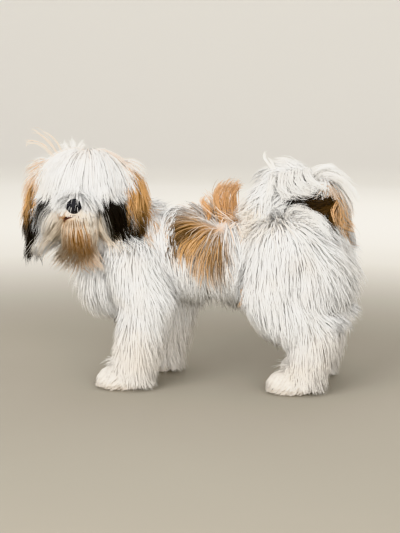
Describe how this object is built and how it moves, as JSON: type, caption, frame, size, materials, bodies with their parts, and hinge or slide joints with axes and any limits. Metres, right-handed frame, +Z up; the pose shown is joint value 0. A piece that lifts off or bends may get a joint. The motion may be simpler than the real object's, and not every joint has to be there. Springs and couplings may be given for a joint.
{
  "type": "shih tzu dog",
  "caption": "Life-size standing young shih tzu, head turned to its left, tail over the back, long coat.",
  "frame": {"origin": "middle of the dog's footprint, on the floor under its soles", "axes": "+X towards the tail, +Y towards the dog's right side, +Z up; the body faces -X"},
  "size_m": [0.382, 0.1896, 0.2787],
  "materials": {
    "coat": "long soft white coat with tan and black markings",
    "ear_coat": "long tan and black ear fringe",
    "nose_leather": "moist black pebbled skin",
    "eye": "wet dark brown"
  },
  "bodies": {
    "root": {"ear_left": "ear_coat", "ear_right": "ear_coat", "eye_left": "eye", "eye_right": "eye", "foreleg_left": "coat", "foreleg_right": "coat", "forepaw_left": "coat", "forepaw_right": "coat", "head": "coat", "hind_leg_left": "coat", "hind_leg_right": "coat", "hind_paw_left": "coat", "hind_paw_right": "coat", "neck": "coat", "nose": "nose_leather", "tail_root": "coat", "tail_tip": "coat", "thigh_left": "coat", "thigh_right": "coat", "torso_front": "coat", "torso_rear": "coat"}
  },
  "joints": []
}
